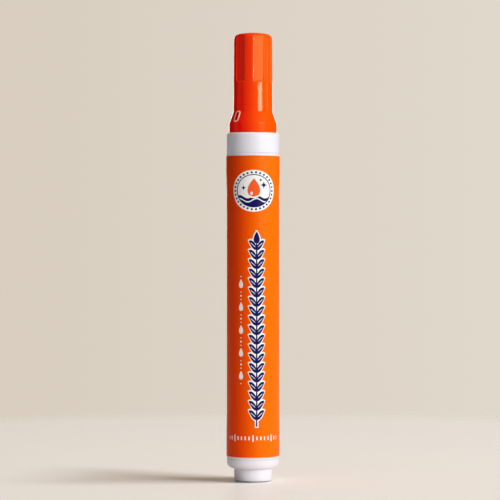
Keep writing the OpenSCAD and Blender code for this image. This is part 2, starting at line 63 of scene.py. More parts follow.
# Strength of the even light from all round
AMBIENT = 0.10

# The lamps' colours, as shares of red, green and blue
PLAIN_LIGHT = (1.0, 1.0, 1.0)
FILL_LIGHT = (0.80, 0.88, 1.0)
WHITE_FILL_LIGHT = (1.0, 0.82, 0.92)
BOUNCE_LIGHT = (1.0, 0.2, 0.08)
TOP_LIGHT = (1.0, 0.82, 0.62)
FLOOR_TOP_LIGHT = (1.0, 0.62, 0.22)
SHADOW_LIGHT = (0.82, 0.90, 1.0)

# The cap's flutes and vents as the solid has them: millimetres, and degrees to the right of the front
FLUTE_COUNT = 6
FLUTE_TURN = 18.3
FLUTE_W = 3.25
FLUTE_H = 14.8
FLUTE_FLOOR = 5.33
VENT_COUNT = 2
VENT_TURN = -47
VENT_W = 1.05
VENT_H = 2.5
VENT_ROUND = 0.42
VENT_LIP_W = 0.45
VENT_BELOW_TOP = 25.2

# The radius that the label's print is laid out on, and how far round from the front its film laps
PRINT_R = 7.95
LAP_FROM = 23.4

# The valve's spring, as the solid that it stands for, with finer steps
SPRING_TURNS = 7
SPRING_RINGS = 36
SPRING_SIDES = 16
SPRING_WIRE = 0.45 * MM
SPRING_END_PITCH = 0.35


def srgb(red, green, blue):
    """A colour given in the 0 to 255 of a colour chart, as the shader wants it."""
    def linear(level):
        c = level / 255
        return c / 12.92 if c <= 0.04045 else ((c + 0.055) / 1.055) ** 2.4
    return (linear(red), linear(green), linear(blue), 1.0)


CAP_RED = srgb(250, 83, 2)
# Painted shade: the deeper red that the cap's colour turns to on the pen's left
CAP_PAINTED_SHADE = srgb(250, 12, 0)
# Painted light: the lighter orange of the flutes' flats on the pen's right
CAP_PAINTED_FLAT_LIGHT = srgb(254, 108, 2)
CAP_SINK = srgb(226, 30, 0)
# Painted highlights: the pale orange on the flutes' edges, and the pale line on the vents' lips
CAP_EDGE_HIGHLIGHT = srgb(255, 134, 54)
VENT_LIP_HIGHLIGHT = srgb(255, 216, 196)
LABEL_ORANGE = srgb(253, 118, 3)
# Painted shade: the deeper orange that the label turns to on the pen's left
LABEL_PAINTED_SHADE = srgb(246, 68, 1)
LABEL_INK = srgb(246, 70, 2)
NAVY = srgb(14, 16, 92)
PRINT_WHITE = srgb(250, 250, 248)
DROP_ORANGE = srgb(250, 98, 40)
WHITE_PLASTIC = srgb(238, 237, 246)
WHITE_SINK = srgb(236, 234, 238)
DUST = srgb(170, 166, 160)
NATURAL_PLASTIC = srgb(226, 229, 226)
NATURAL_SINK = srgb(214, 219, 214)
RUBBER = srgb(38, 38, 40)
RUBBER_BLOOM = srgb(72, 72, 74)
STEEL = srgb(190, 192, 196)
STEEL_DULL = srgb(160, 160, 166)
FELT = srgb(240, 236, 226)
FELT_PIT = srgb(214, 208, 194)
LIQUID = srgb(214, 236, 246)
LIQUID_SWIRL = srgb(200, 230, 244)
FLAG_BLACK = srgb(16, 10, 8)
FLOOR = srgb(233, 225, 214)
FLOOR_CLOUD = srgb(230, 221, 209)
# Painted shade: the backdrop is darker on its left than on its right
BACKDROP_LEFT = srgb(216, 205, 191)
BACKDROP_RIGHT = srgb(225, 216, 204)
AMBIENT_LIGHT = srgb(232, 240, 255)


class Graph:
    """Adds nodes to one material, world or node group, and joins them."""

    def __init__(self, tree):
        self.tree = tree

    def node(self, kind, inputs=None, **settings):
        made = self.tree.nodes.new("ShaderNode" + kind)
        for name, value in settings.items():
            setattr(made, name, value)
        for name, value in (inputs or {}).items():
            self.feed(made.inputs[name], value)
        return made

    def feed(self, socket, value):
        """Joins another node's output to the socket, or sets a plain value on it."""
        if isinstance(value, bpy.types.NodeSocket):
            self.tree.links.new(value, socket)
        else:
            socket.default_value = value

    def math(self, operation, *values, clamp=False):
        made = self.node("Math", operation=operation, use_clamp=clamp)
        for socket, value in zip(made.inputs, values):
            self.feed(socket, value)
        return made.outputs[0]

    def add(self, a, b, clamp=False):
        return self.math("ADD", a, b, clamp=clamp)

    def take(self, a, b, clamp=False):
        return self.math("SUBTRACT", a, b, clamp=clamp)

    def times(self, a, b):
        return self.math("MULTIPLY", a, b)

    def over(self, a, b):
        return self.math("DIVIDE", a, b)

    def size(self, a):
        return self.math("ABSOLUTE", a)

    def root(self, a):
        return self.math("SQRT", a)

    def length(self, x, y):
        return self.root(self.add(self.times(x, x), self.times(y, y)))

    def most(self, *values):
        found = values[0]
        for value in values[1:]:
            found = self.math("MAXIMUM", found, value)
        return found

    def least(self, *values):
        found = values[0]
        for value in values[1:]:
            found = self.math("MINIMUM", found, value)
        return found

    def wave(self, value, period, phase=0.0):
        """A sine of the value that repeats at the period."""
        return self.math("SINE", self.math("MULTIPLY_ADD", self.over(value, period), 2 * math.pi, phase))

    def repeat(self, value, period):
        """How far the value is from the middle of its own cell."""
        cell = self.math("FRACT", self.over(value, period))
        return self.times(self.take(cell, 0.5), period)

    def inside(self, depth, soft=0.06):
        """1 where the depth is above 0 and 0 outside, with a soft edge."""
        return self.math("MULTIPLY_ADD", depth, 1 / soft, 0.5, clamp=True)

    def mix(self, share, a, b):
        """The colour a where the share is 0 and b where it is 1."""
        made = self.node("Mix", data_type="RGBA")
        share_socket, a_socket, b_socket, result_socket = 0, 6, 7, 2
        self.feed(made.inputs[share_socket], share)
        self.feed(made.inputs[a_socket], a)
        self.feed(made.inputs[b_socket], b)
        return made.outputs[result_socket]

    def range(self, value, low, high, to_low, to_high, smooth=False):
        """Carries a value between low and high over to the same place between to_low and to_high."""
        made = self.node("MapRange", interpolation_type="SMOOTHSTEP" if smooth else "LINEAR")
        for socket, given in zip(made.inputs, (value, low, high, to_low, to_high)):
            self.feed(socket, given)
        return made.outputs[0]

    def drift(self, skin, low, high):
        """A value that drifts between two levels with the patches of a moulded skin."""
        return self.range(skin["Patches"], 0.3, 0.7, low, high)

    def noise(self, place, scale, detail, roughness=0.5):
        made = self.node(
            "TexNoise", {"Vector": place, "Scale": scale, "Detail": detail, "Roughness": roughness}
        )
        return made.outputs["Fac"]

    def split(self, place):
        return self.node("SeparateXYZ", {0: place}).outputs

    def use(self, group, **inputs):
        """Places a node group and returns its outputs."""
        made = self.node("Group", node_tree=group)
        for name, value in inputs.items():
            self.feed(made.inputs[name.replace("_", " ")], value)
        return made.outputs


def new_group(name, inputs, outputs):
    """A node group with named number sockets: its graph, its inputs and a function that ends it."""
    tree = bpy.data.node_groups.new(name, "ShaderNodeTree")
    for label, default in inputs.items():
        socket = tree.interface.new_socket(label, in_out="INPUT", socket_type="NodeSocketFloat")
        socket.default_value = default
    for label in outputs:
        tree.interface.new_socket(label, in_out="OUTPUT", socket_type="NodeSocketFloat")
    graph = Graph(tree)
    given = tree.nodes.new("NodeGroupInput").outputs
    ends = tree.nodes.new("NodeGroupOutput").inputs

    def end(**values):
        for label, value in values.items():
            graph.feed(ends[label.replace("_", " ")], value)
        return tree

    return graph, given, end


def position_mm(graph):
    """The place on the object in millimetres."""
    place = graph.node("TexCoord").outputs["Object"]
    per_metre = 1 / MM
    scale = (per_metre, per_metre, per_metre)
    return graph.node("VectorMath", {0: place, 1: scale}, operation="MULTIPLY").outputs[0]


def turn_from_front(graph, place):
    """The turn of a place about the pen's axis, from the front to the right."""
    return graph.math("ARCTAN2", place[0], graph.times(place[1], -1))


# Effects that several finishes share


def around_and_up():
    """Place on a turned skin: millimetres around from the front, to the right, and millimetres up."""
    graph, given, end = new_group("Around and up", {"Radius": PRINT_R}, ["Around", "Up"])
    place = graph.split(position_mm(graph))
    return end(Around=graph.times(turn_from_front(graph, place), given["Radius"]), Up=place[2])


def moulded_skin():
    """The faint orange peel and sink of a moulded wall, as a height and a patchiness."""
    graph, given, end = new_group(
        "Moulded skin", {"Peel size": 0.35, "Sink": 0.5}, ["Height", "Patches"]
    )
    peel_height = 0.35
    place = position_mm(graph)
    peel = graph.noise(place, scale=graph.over(1, given["Peel size"]), detail=2.0)
    sink = graph.noise(place, scale=0.22, detail=1.0)
    patches = graph.noise(place, scale=0.6, detail=3.0, roughness=0.6)
    height = graph.add(graph.times(peel, peel_height), graph.times(sink, given["Sink"]))
    return end(Height=height, Patches=patches)


def handling_marks():
    """Hairline scratches, most of them along the pen, and a few specks of dust."""
    graph, given, end = new_group("Handling marks", {"Amount": 0.5}, ["Scratches", "Dust"])
    place = position_mm(graph)
    hairs = []
    for lean, scale, seed in ((9, (9.0, 9.0, 0.16), 3.1), (-24, (7.0, 7.0, 0.2), 8.7)):
        tilt = math.radians(lean)
        leaned = graph.node("Mapping", {"Vector": place, "Rotation": (tilt, tilt, 0), "Scale": scale})
        noise = graph.node(
            "TexNoise",
            {"Vector": leaned.outputs[0], "W": seed, "Scale": 1.0, "Detail": 1.0},
            noise_dimensions="4D",
        )
        hairs.append(graph.range(noise.outputs["Fac"], 0.71, 0.76, 0, 1))
    where = graph.noise(place, scale=0.09, detail=2.0)
    worn = graph.range(where, 0.42, 0.62, 0, 1, smooth=True)
    specks = graph.node("TexVoronoi", {"Vector": place, "Scale": 0.9, "Randomness": 1.0})
    speck = graph.range(specks.outputs["Distance"], 0.030, 0.055, 1, 0)
    return end(
        Scratches=graph.times(graph.times(graph.most(*hairs), worn), given["Amount"]),
        Dust=graph.times(speck, given["Amount"]),
    )


def painted_side_shade():
    """0 on the pen's left and 1 on its right, for painted shade: colours deepen towards the shaded left.
    """
    graph, given, end = new_group("Painted side shade", {"Radius": PRINT_R}, ["Right"])
    deepest_at = -0.7
    clearest_at = 0.58
    across = graph.over(graph.split(position_mm(graph))[0], given["Radius"])
    return end(Right=graph.range(across, deepest_at, clearest_at, 0, 1, smooth=True))


def from_middle(graph, turn, out, first, count):
    """Millimetres sideways and outwards from the nearest of some places spread round the axis."""
    cell = 2 * math.pi / count
    near = graph.repeat(graph.add(turn, cell / 2 - math.radians(first)), cell)
    sideways = graph.size(graph.times(graph.math("SINE", near), out))
    return sideways, graph.times(graph.math("COSINE", near), out)


def rounded_box(graph, x, y, half_width, half_height, corner):
    """Depth inside a box with round corners, for sizes measured from its middle."""
    past_x = graph.most(graph.take(x, half_width - corner), 0)
    past_y = graph.most(graph.take(y, half_height - corner), 0)
    return graph.take(corner, graph.length(past_x, past_y))


def cap_details():
    """Masks on the cap: its satin flutes and crown, and the flute edges and vent lips for painted
    highlights.
    """
    graph, given, end = new_group(
        "Cap details", {"Top": 134.2, "Edge": 0.09}, ["Flats", "Crown", "Edges", "Lips", "Step"]
    )
    floor_margin = 0.08
    slot_margin = 0.05
    crown_ends_from = 0.9
    crown_ends_by = 1.5
    step_width = 0.3

    place = graph.split(position_mm(graph))
    turn = turn_from_front(graph, place)
    out = graph.length(place[0], place[1])
    below = graph.take(given["Top"], place[2])

    across, outwards = from_middle(graph, turn, out, FLUTE_TURN, FLUTE_COUNT)
    in_width = graph.take(FLUTE_W / 2, across)
    in_length = graph.take(FLUTE_H, below)
    in_cut = graph.take(outwards, FLUTE_FLOOR - floor_margin)
    in_flute = graph.least(in_width, in_length, in_cut)
    edge = given["Edge"]
    sides = graph.least(graph.take(edge, graph.size(graph.add(in_width, edge))), in_length)
    ends = graph.least(graph.take(edge, graph.size(in_length)), in_width)
    edges = graph.inside(graph.least(graph.most(sides, ends), in_cut))

    across, _ = from_middle(graph, turn, out, VENT_TURN, VENT_COUNT)
    above = graph.size(graph.take(below, VENT_BELOW_TOP))
    borders = []
    for border in (VENT_LIP_W, slot_margin):
        depth = rounded_box(
            graph, across, above, VENT_W / 2 + border, VENT_H / 2 + border, VENT_ROUND + border
        )
        borders.append(graph.inside(depth))
    lip, slot = borders
    return end(
        Flats=graph.inside(in_flute),
        Crown=graph.range(below, crown_ends_from, crown_ends_by, 1, 0, smooth=True),
        Edges=edges,
        Lips=graph.times(lip, graph.take(1, slot)),
        Step=graph.inside(in_flute, soft=step_width),
    )


# The print on the label. Its motifs are plain: a drop over a wave, a sprig of leaves, small marks


# The share of a drop's height below its middle, and the highest value of its sides' curve
DROP_BELOW = 0.42
DROP_WIDEST = 0.385


def drop_shape(graph, x, y, width, height):
    """Depth inside an upright drop whose middle is at 0, 0."""
    share = graph.add(graph.over(y, height), DROP_BELOW, clamp=True)
    curve = graph.times(graph.root(share), graph.take(1, share))
    sides = graph.take(graph.times(curve, width / 2 / DROP_WIDEST), graph.size(x))
    from_foot = graph.add(y, DROP_BELOW * height)
    to_tip = graph.take((1 - DROP_BELOW) * height, y)
    return graph.least(sides, from_foot, to_tip)


def sparkle_shape(graph, x, y, reach):
    """Depth inside a four-pointed sparkle."""
    sides = graph.add(graph.root(graph.size(x)), graph.root(graph.size(y)))
    return graph.take(reach, graph.times(sides, sides))


def round_emblem():
    """White disc with a ring of dots, and inside it an orange drop above a navy wave."""
    graph, given, end = new_group(
        "Round emblem",
        {
            "Around": 0.0,
            "Up": 0.0,
            "Centre around": 0.25,
            "Centre up": 86.75,
            "Radius": 6.2,
            "Squeeze": 0.905,
        },
        ["Disc", "Navy", "Orange", "Shine"],
    )
    dot_count = 30
    dot_r = 0.30
    dot_ring_share = 0.885
    field_share = 0.775
    rim_half = 0.13
    wave_length = 4.8
    wave_phase = 0.6
    wave_height = 0.5
    sea_level = -1.75
    foam_below = 1.05
    foam_half = 0.17
    drop_rise = 0.55
    shine_left = 0.62
    shine_below = 0.75
    shine_r = 0.33
    shine_squash = 0.62
    sparkles_at = ((2.75, 1.7, 1.35), (-2.85, 0.9, 0.95), (1.85, 3.2, 0.7))

    x = graph.times(graph.take(given["Around"], given["Centre around"]), given["Squeeze"])
    y = graph.take(given["Up"], given["Centre up"])
    out = graph.length(x, y)
    disc = graph.inside(graph.take(given["Radius"], out))

    dot_ring = graph.times(given["Radius"], dot_ring_share)
    turn = graph.math("ARCTAN2", x, y)
    along = graph.times(graph.repeat(turn, 2 * math.pi / dot_count), dot_ring)
    dots = graph.inside(graph.take(dot_r, graph.length(along, graph.take(out, dot_ring))))

    field_r = graph.times(given["Radius"], field_share)
    field = graph.inside(graph.take(field_r, out))
    rim = graph.inside(graph.take(rim_half, graph.size(graph.take(out, field_r))))
    crest = graph.add(graph.times(graph.wave(x, wave_length, wave_phase), wave_height), sea_level)
    sea = graph.times(graph.inside(graph.take(crest, y)), field)
    from_foam = graph.size(graph.take(graph.take(crest, foam_below), y))
    foam = graph.times(graph.inside(graph.take(foam_half, from_foam)), field)

    drop_y = graph.take(y, drop_rise)
    drop = graph.inside(drop_shape(graph, x, drop_y, width=3.5, height=5.4))
    halo = graph.inside(drop_shape(graph, x, drop_y, width=4.4, height=6.5))
    shine_y = graph.times(graph.add(y, shine_below), shine_squash)
    shine = graph.inside(graph.take(shine_r, graph.length(graph.add(x, shine_left), shine_y)))

    sparkle_depths = [
        sparkle_shape(graph, graph.take(x, at_x), graph.take(y, at_y), reach)
        for at_x, at_y, reach in sparkles_at
    ]
    sparkles = graph.inside(graph.most(*sparkle_depths), soft=0.12)
    sea = graph.take(sea, graph.most(foam, halo), clamp=True)
    return end(Disc=disc, Navy=graph.most(dots, rim, sea, sparkles), Orange=drop, Shine=shine)


def leaf_sprig():
    """Tall sprig of navy leaves in pairs, with a stem and a bud, white keylines and fine white veins."""
    graph, given, end = new_group(
        "Leaf sprig",
        {"Around": 0.0, "Up": 0.0, "Centre": 1.1, "Bottom": 17.9, "Length": 53.2, "Keyline": 0.33},
        ["White", "Navy"],
    )
    pairs = 19
    rise = 0.9
    reach = 2.4
    leaf_half = 0.8
    widest_at = 0.42
    bow_reach = 0.6
    leaf_end_slope = 20
    stem_half = 0.22
    stem_below = 1.1
    stem_above = 1.0
    bud_above = 1.5
    vein_half = 0.08
    vein_from = 0.2
    vein_to = 0.72

    x = graph.take(given["Around"], given["Centre"])
    out = graph.size(x)
    up = graph.take(given["Up"], given["Bottom"])

    along = graph.take(up, graph.times(out, rise))
    from_leaf = graph.size(graph.repeat(along, graph.over(given["Length"], pairs)))
    across = graph.times(from_leaf, math.cos(math.atan(rise)))
    share = graph.over(out, reach)
    bow = graph.over(graph.take(share, widest_at), bow_reach)
    leaf = graph.take(graph.times(graph.take(1, graph.times(bow, bow)), leaf_half), across)
    in_leaves = graph.times(graph.least(along, graph.take(given["Length"], along)), leaf_end_slope)

    stem_end = graph.add(given["Length"], stem_above)
    in_stem = graph.least(graph.add(up, stem_below), graph.take(stem_end, up))
    stem = graph.least(graph.take(stem_half, out), in_stem)
    bud_y = graph.take(up, graph.add(given["Length"], bud_above))
    bud = drop_shape(graph, x, bud_y, width=1.9, height=3.6)
    depth = graph.most(graph.least(leaf, in_leaves), stem, bud)

    veined = graph.least(graph.take(share, vein_from), graph.take(vein_to, share), in_leaves)
    vein = graph.times(graph.inside(graph.take(vein_half, across)), graph.inside(veined))
    keyline = graph.inside(graph.add(depth, given["Keyline"]))
    return end(White=keyline, Navy=graph.times(graph.inside(depth), graph.take(1, vein)))


def drop_column():
    """Column of small white drops with a large and two small dots between each pair."""
    graph, given, end = new_group(
        "Drop column",
        {"Around": 0.0, "Up": 0.0, "Centre": -3.75, "Bottom": 28.4, "Length": 34.0},
        ["White"],
    )
    count = 5
    dot_r = 0.27
    small_dot_r = 0.17
    small_dot_at = 1.1
    held_back = 1.4

    cell = graph.over(given["Length"], count)
    up = graph.take(given["Up"], given["Bottom"])
    x = graph.take(given["Around"], given["Centre"])
    drops = graph.inside(drop_shape(graph, x, graph.repeat(up, cell), width=1.35, height=2.6))
    between = graph.repeat(graph.add(up, graph.times(cell, 0.5)), cell)
    dot = graph.take(dot_r, graph.length(x, between))
    small_dot = graph.take(small_dot_r, graph.length(x, graph.take(graph.size(between), small_dot_at)))
    dots = graph.inside(graph.most(dot, small_dot))
    reach = graph.times(graph.take(given["Length"], held_back), 0.5)
    middle = graph.take(up, graph.times(given["Length"], 0.5))
    held = graph.inside(graph.take(reach, graph.size(middle)))
    return end(White=graph.times(graph.most(drops, dots), held))


def mark_row():
    """Row of short white graduations near the foot, every fifth one longer."""
    graph, given, end = new_group(
        "Mark row",
        {"Around": 0.0, "Up": 0.0, "Height": 13.3, "Half length": 8.3, "Pitch": 1.18},
        ["White"],
    )
    long_every = 5
    half_width = 0.19
    short_half = 0.55
    long_half = 1.0

    def from_nearest(pitch):
        return graph.size(graph.repeat(graph.add(given["Around"], graph.times(pitch, 0.5)), pitch))

    pitch = given["Pitch"]
    from_long = from_nearest(graph.times(pitch, long_every))
    is_long = graph.inside(graph.take(graph.times(pitch, 0.5), from_long))
    half_height = graph.range(is_long, 0, 1, short_half, long_half)
    y = graph.size(graph.take(given["Up"], given["Height"]))
    in_width = graph.take(half_width, from_nearest(pitch))
    mark = graph.inside(graph.least(in_width, graph.take(half_height, y)))
    reach = graph.inside(graph.take(given["Half length"], graph.size(given["Around"])))
    return end(White=graph.times(mark, reach))


GROUPS = {}


def build_groups():
    for name, make in (
        ("turned", around_and_up),
        ("skin", moulded_skin),
        ("marks", handling_marks),
        ("side", painted_side_shade),
        ("emblem", round_emblem),
        ("sprig", leaf_sprig),
        ("cap", cap_details),
        ("column", drop_column),
        ("row", mark_row),
    ):
        GROUPS[name] = make()


# The finishes


def new_material(name, **fixed):
    """A material with its shader, whose plain values are set on the shader's own sockets."""
    made = bpy.data.materials.new(name)
    made.use_nodes = True
    graph = Graph(made.node_tree)
    shader = made.node_tree.nodes["Principled BSDF"]
    for label, value in fixed.items():
        shader.inputs[label.replace("_", " ")].default_value = value
    return made, graph, shader


def add_bump(graph, shader, height, distance_mm, over=None):
    """Raises the skin by the height, on top of an earlier layer where there is one."""
    bump = graph.node("Bump", {"Strength": 1.0, "Distance": distance_mm * MM, "Height": height})
    if over:
        graph.feed(bump.inputs["Normal"], over)
    graph.feed(shader.inputs["Normal"], bump.outputs[0])
    return bump.outputs[0]


def cap_plastic():
    """Glossy orange-red moulding, satin on its crown and its flutes' flats, with painted shade and
    highlights.
    """
    made, graph, shader = new_material(
        "Cap Plastic",
        IOR=1.24,
        Specular_Tint=(1.0, 0.92, 0.58, 1.0),
        Subsurface_Weight=0.15,
        Subsurface_Radius=(1.0, 0.12, 0.03),
        Subsurface_Scale=2.0 * MM,
    )
    skin = graph.use(GROUPS["skin"], Peel_size=0.5, Sink=0.15)
    marks = graph.use(GROUPS["marks"], Amount=0.6)
    side = graph.use(GROUPS["side"], Radius=6.5)
    detail = graph.use(GROUPS["cap"], Top=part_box("cap_shell")[1].z / MM)

    # Painted shade: the red deepens towards the pen's left, where less light falls.
    colour = graph.mix(side["Right"], CAP_PAINTED_SHADE, CAP_RED)
    colour = graph.mix(graph.drift(skin, 0, 0.06), colour, CAP_SINK)
    # Painted light: the flats turn a lighter orange towards the pen's right, where the key lamp lights
    # them.
    flats = graph.times(graph.times(detail["Flats"], side["Right"]), 0.6)
    colour = graph.mix(flats, colour, CAP_PAINTED_FLAT_LIGHT)
    # Painted highlight: pale lines along the flutes' edges, stronger on the pen's right.
    painted_edge_highlight = graph.times(detail["Edges"], graph.range(side["Right"], 0, 1, 0.22, 0.5))
    colour = graph.mix(painted_edge_highlight, colour, CAP_EDGE_HIGHLIGHT)
    # Painted highlight: a pale line on the vents' raised lips.
    colour = graph.mix(detail["Lips"], colour, VENT_LIP_HIGHLIGHT)
    colour = graph.mix(graph.times(marks["Dust"], 0.12), colour, PRINT_WHITE)
    graph.feed(shader.inputs["Base Color"], colour)

    rough = graph.drift(skin, 0.05, 0.09)
    for mask, more in (
        (marks["Scratches"], 0.18),
        (detail["Flats"], 0.36),
        (detail["Crown"], 0.62),
        (marks["Dust"], 0.3),
    ):
        rough = graph.add(rough, graph.times(mask, more))
    graph.feed(shader.inputs["Roughness"], rough)

    step = add_bump(graph, shader, graph.times(detail["Step"], -1), distance_mm=0.15)
    height = graph.take(skin["Height"], graph.times(marks["Scratches"], 0.25))
    add_bump(graph, shader, height, distance_mm=0.006, over=step)
    return made


def white_plastic():
    """Satin white moulding of the barrel, the front section and the end plug."""
    made, graph, shader = new_material(
        "White Plastic",
        IOR=1.49,
        Subsurface_Weight=0.35,
        Subsurface_Radius=(1.0, 0.9, 0.85),
        Subsurface_Scale=1.0 * MM,
    )
    skin = graph.use(GROUPS["skin"], Peel_size=0.3, Sink=0.4)
    marks = graph.use(GROUPS["marks"], Amount=0.5)
    colour = graph.mix(graph.drift(skin, 0, 0.5), WHITE_PLASTIC, WHITE_SINK)
    colour = graph.mix(graph.times(marks["Dust"], 0.2), colour, DUST)
    graph.feed(shader.inputs["Base Color"], colour)
    rough = graph.add(graph.drift(skin, 0.46, 0.54), graph.times(marks["Scratches"], 0.15))
    graph.feed(shader.inputs["Roughness"], rough)
    height = graph.take(skin["Height"], graph.times(marks["Scratches"], 0.3))
    add_bump(graph, shader, height, distance_mm=0.012)
    return made


def label_film():
    """Satin printed film, with the print's own slight thickness and the lap of the film at the back."""
    made, graph, shader = new_material("Label Film", IOR=1.2, Specular_Tint=(1.0, 0.9, 0.5, 1.0))
    place = graph.use(GROUPS["turned"])
    around, up = place["Around"], place["Up"]
    skin = graph.use(GROUPS["skin"], Peel_size=0.22, Sink=0.8)
    marks = graph.use(GROUPS["marks"], Amount=0.45)
    side = graph.use(GROUPS["side"])
    emblem, sprig, column, row = [
        graph.use(GROUPS[motif], Around=around, Up=up) for motif in ("emblem", "sprig", "column", "row")
    ]

    # Painted shade: the orange deepens towards the pen's left, where less light falls.
    colour = graph.mix(side["Right"], LABEL_PAINTED_SHADE, LABEL_ORANGE)
    colour = graph.mix(graph.drift(skin, 0, 0.2), colour, LABEL_INK)
    white = graph.most(emblem["Disc"], sprig["White"], column["White"], row["White"])
    colour = graph.mix(white, colour, PRINT_WHITE)
    navy = graph.most(graph.times(emblem["Navy"], emblem["Disc"]), sprig["Navy"])
    colour = graph.mix(navy, colour, NAVY)
    colour = graph.mix(emblem["Orange"], colour, DROP_ORANGE)
    colour = graph.mix(graph.times(emblem["Shine"], 0.85), colour, PRINT_WHITE)
    graph.feed(shader.inputs["Base Color"], colour)

    printed = graph.most(white, navy, emblem["Orange"])
    rough = graph.take(graph.drift(skin, 0.33, 0.41), graph.times(printed, 0.05))
    rough = graph.add(rough, graph.times(marks["Scratches"], 0.12))
    graph.feed(shader.inputs["Roughness"], rough)

    lap = graph.inside(graph.take(graph.size(around), LAP_FROM), soft=0.12)
    height = graph.add(graph.times(skin["Height"], 0.5), graph.times(printed, 0.35))
    height = graph.add(height, graph.times(lap, 1.6))
    height = graph.take(height, graph.times(marks["Scratches"], 0.2))
    add_bump(graph, shader, height, distance_mm=0.02)
    return made


def natural_plastic():
    """Uncoloured milky moulding of the inner pieces."""
    made, graph, shader = new_material(
        "Natural Plastic",
        IOR=1.5,
        Subsurface_Weight=0.6,
        Subsurface_Radius=(1.0, 0.95, 0.85),
        Subsurface_Scale=1.6 * MM,
    )
    skin = graph.use(GROUPS["skin"], Peel_size=0.25, Sink=0.5)
    colour = graph.mix(graph.drift(skin, 0, 1), NATURAL_PLASTIC, NATURAL_SINK)
    graph.feed(shader.inputs["Base Color"], colour)
    graph.feed(shader.inputs["Roughness"], graph.drift(skin, 0.3, 0.42))
    add_bump(graph, shader, skin["Height"], distance_mm=0.01)
    return made


def seal_rubber():
    """Matt black rubber of the rings and the valve's seat."""
    made, graph, shader = new_material("Seal Rubber", IOR=1.52)
    skin = graph.use(GROUPS["skin"], Peel_size=0.09, Sink=0.2)
    bloom = graph.range(skin["Patches"], 0.4, 0.7, 0, 0.35, smooth=True)
    graph.feed(shader.inputs["Base Color"], graph.mix(bloom, RUBBER, RUBBER_BLOOM))
    graph.feed(shader.inputs["Roughness"], graph.drift(skin, 0.55, 0.72))
    add_bump(graph, shader, skin["Height"], distance_mm=0.02)
    return made


def spring_steel():
    """Drawn stainless wire."""
    made, graph, shader = new_material("Spring Steel", Metallic=1.0, IOR=2.5)
    drawn = graph.noise(position_mm(graph), scale=9.0, detail=3.0)
    colour = graph.mix(graph.range(drawn, 0.35, 0.65, 0, 1), STEEL, STEEL_DULL)
    graph.feed(shader.inputs["Base Color"], colour)
    graph.feed(shader.inputs["Roughness"], graph.range(drawn, 0.3, 0.7, 0.18, 0.34))
    add_bump(graph, shader, drawn, distance_mm=0.006)
    return made


def nib_felt():
    """Pressed felt, its fibres along the nib."""
    made, graph, shader = new_material(
        "Nib Felt",
        Subsurface_Weight=0.3,
        Subsurface_Radius=(1.0, 0.95, 0.9),
        Subsurface_Scale=0.6 * MM,
        Sheen_Weight=0.35,
        Sheen_Roughness=0.5,
    )
    place = position_mm(graph)
    stretched = graph.node("Mapping", {"Vector": place, "Scale": (7.0, 7.0, 1.2)})
    fibres = graph.noise(stretched.outputs[0], scale=1.0, detail=6.0, roughness=0.7)
    pores = graph.node("TexVoronoi", {"Vector": place, "Scale": 5.0})
    pit = graph.range(pores.outputs["Distance"], 0.0, 0.22, 0, 1)
    shade = graph.times(graph.range(fibres, 0.35, 0.65, 0, 1), pit)
    graph.feed(shader.inputs["Base Color"], graph.mix(shade, FELT_PIT, FELT))
    graph.feed(shader.inputs["Roughness"], graph.range(fibres, 0.3, 0.7, 0.8, 0.95))
    add_bump(graph, shader, graph.add(fibres, graph.times(pit, 0.5)), distance_mm=0.12)
    return made


def cleaning_liquid():
    """Clear liquid with a faint blue cast."""
    made, graph, shader = new_material("Cleaning Liquid", IOR=1.34, Transmission_Weight=1.0)
    swirl = graph.noise(position_mm(graph), scale=0.2, detail=1.0)
    colour = graph.mix(graph.range(swirl, 0.35, 0.65, 0, 1), LIQUID, LIQUID_SWIRL)
    graph.feed(shader.inputs["Base Color"], colour)
    graph.feed(shader.inputs["Roughness"], graph.range(swirl, 0.3, 0.7, 0.0, 0.03))
    return made


# Each finish's slot, how it is made and the pieces that have it
FINISHES = {
    "cap_plastic": (cap_plastic, ["cap_shell"]),
    "white_plastic": (white_plastic, ["barrel", "end_plug", "front_section"]),
    "label_film": (label_film, ["label_sleeve"]),
    "natural_plastic": (
        natural_plastic,
        ["valve_case", "spring_retainer", "valve_plunger", "cap_seal_cup"],
    ),
    "seal_rubber": (seal_rubber, ["plug_ring", "section_ring", "valve_seat"]),
    "spring_steel": (spring_steel, ["valve_spring"]),
    "felt": (nib_felt, ["nib"]),
    "fluid": (cleaning_liquid, ["cleaning_fluid"]),
}


def dress(frame):
    """Gives every piece of the frame its finish."""
    made = {}
    for slot, (finish, names) in FINISHES.items():
        made[slot] = finish()
        for name in names:
            piece = frame["nodes"][name]
            piece.data.materials.clear()
            piece.data.materials.append(made[slot])
    return made


def new_object(name, data):
    """An object with its mesh, lamp or camera, linked into the scene."""
    made = bpy.data.objects.new(name, data)
    bpy.context.scene.collection.objects.link(made)
    return made


def new_mesh(name, points, faces):
    mesh = bpy.data.meshes.new(name)
    mesh.from_pydata(points, [], faces)
    mesh.update()
    return mesh


def tube(name, line, radius, sides):
    """A closed tube with flat ends along a line of points round the pen's axis."""
    points, faces = [], []
    last = len(line) - 1
    for i, centre in enumerate(line):
        along = (line[min(i + 1, last)] - line[max(i - 1, 0)]).normalized()
        out = Vector((centre.x, centre.y, 0)).normalized()
        up = along.cross(out).normalized()
        out = up.cross(along).normalized()
        for k in range(sides):
            turn = 2 * math.pi * k / sides
            points.append(centre + radius * (math.cos(turn) * out + math.sin(turn) * up))
    for i in range(last):
        for k in range(sides):
            a, b = i * sides + k, i * sides + (k + 1) % sides
            faces.append((a, b, b + sides, a + sides))
    faces.append(tuple(range(sides - 1, -1, -1)))
    faces.append(tuple(last * sides + k for k in range(sides)))
    mesh = new_mesh(name, points, faces)
    mesh.shade_smooth()
    return new_object(name, mesh)


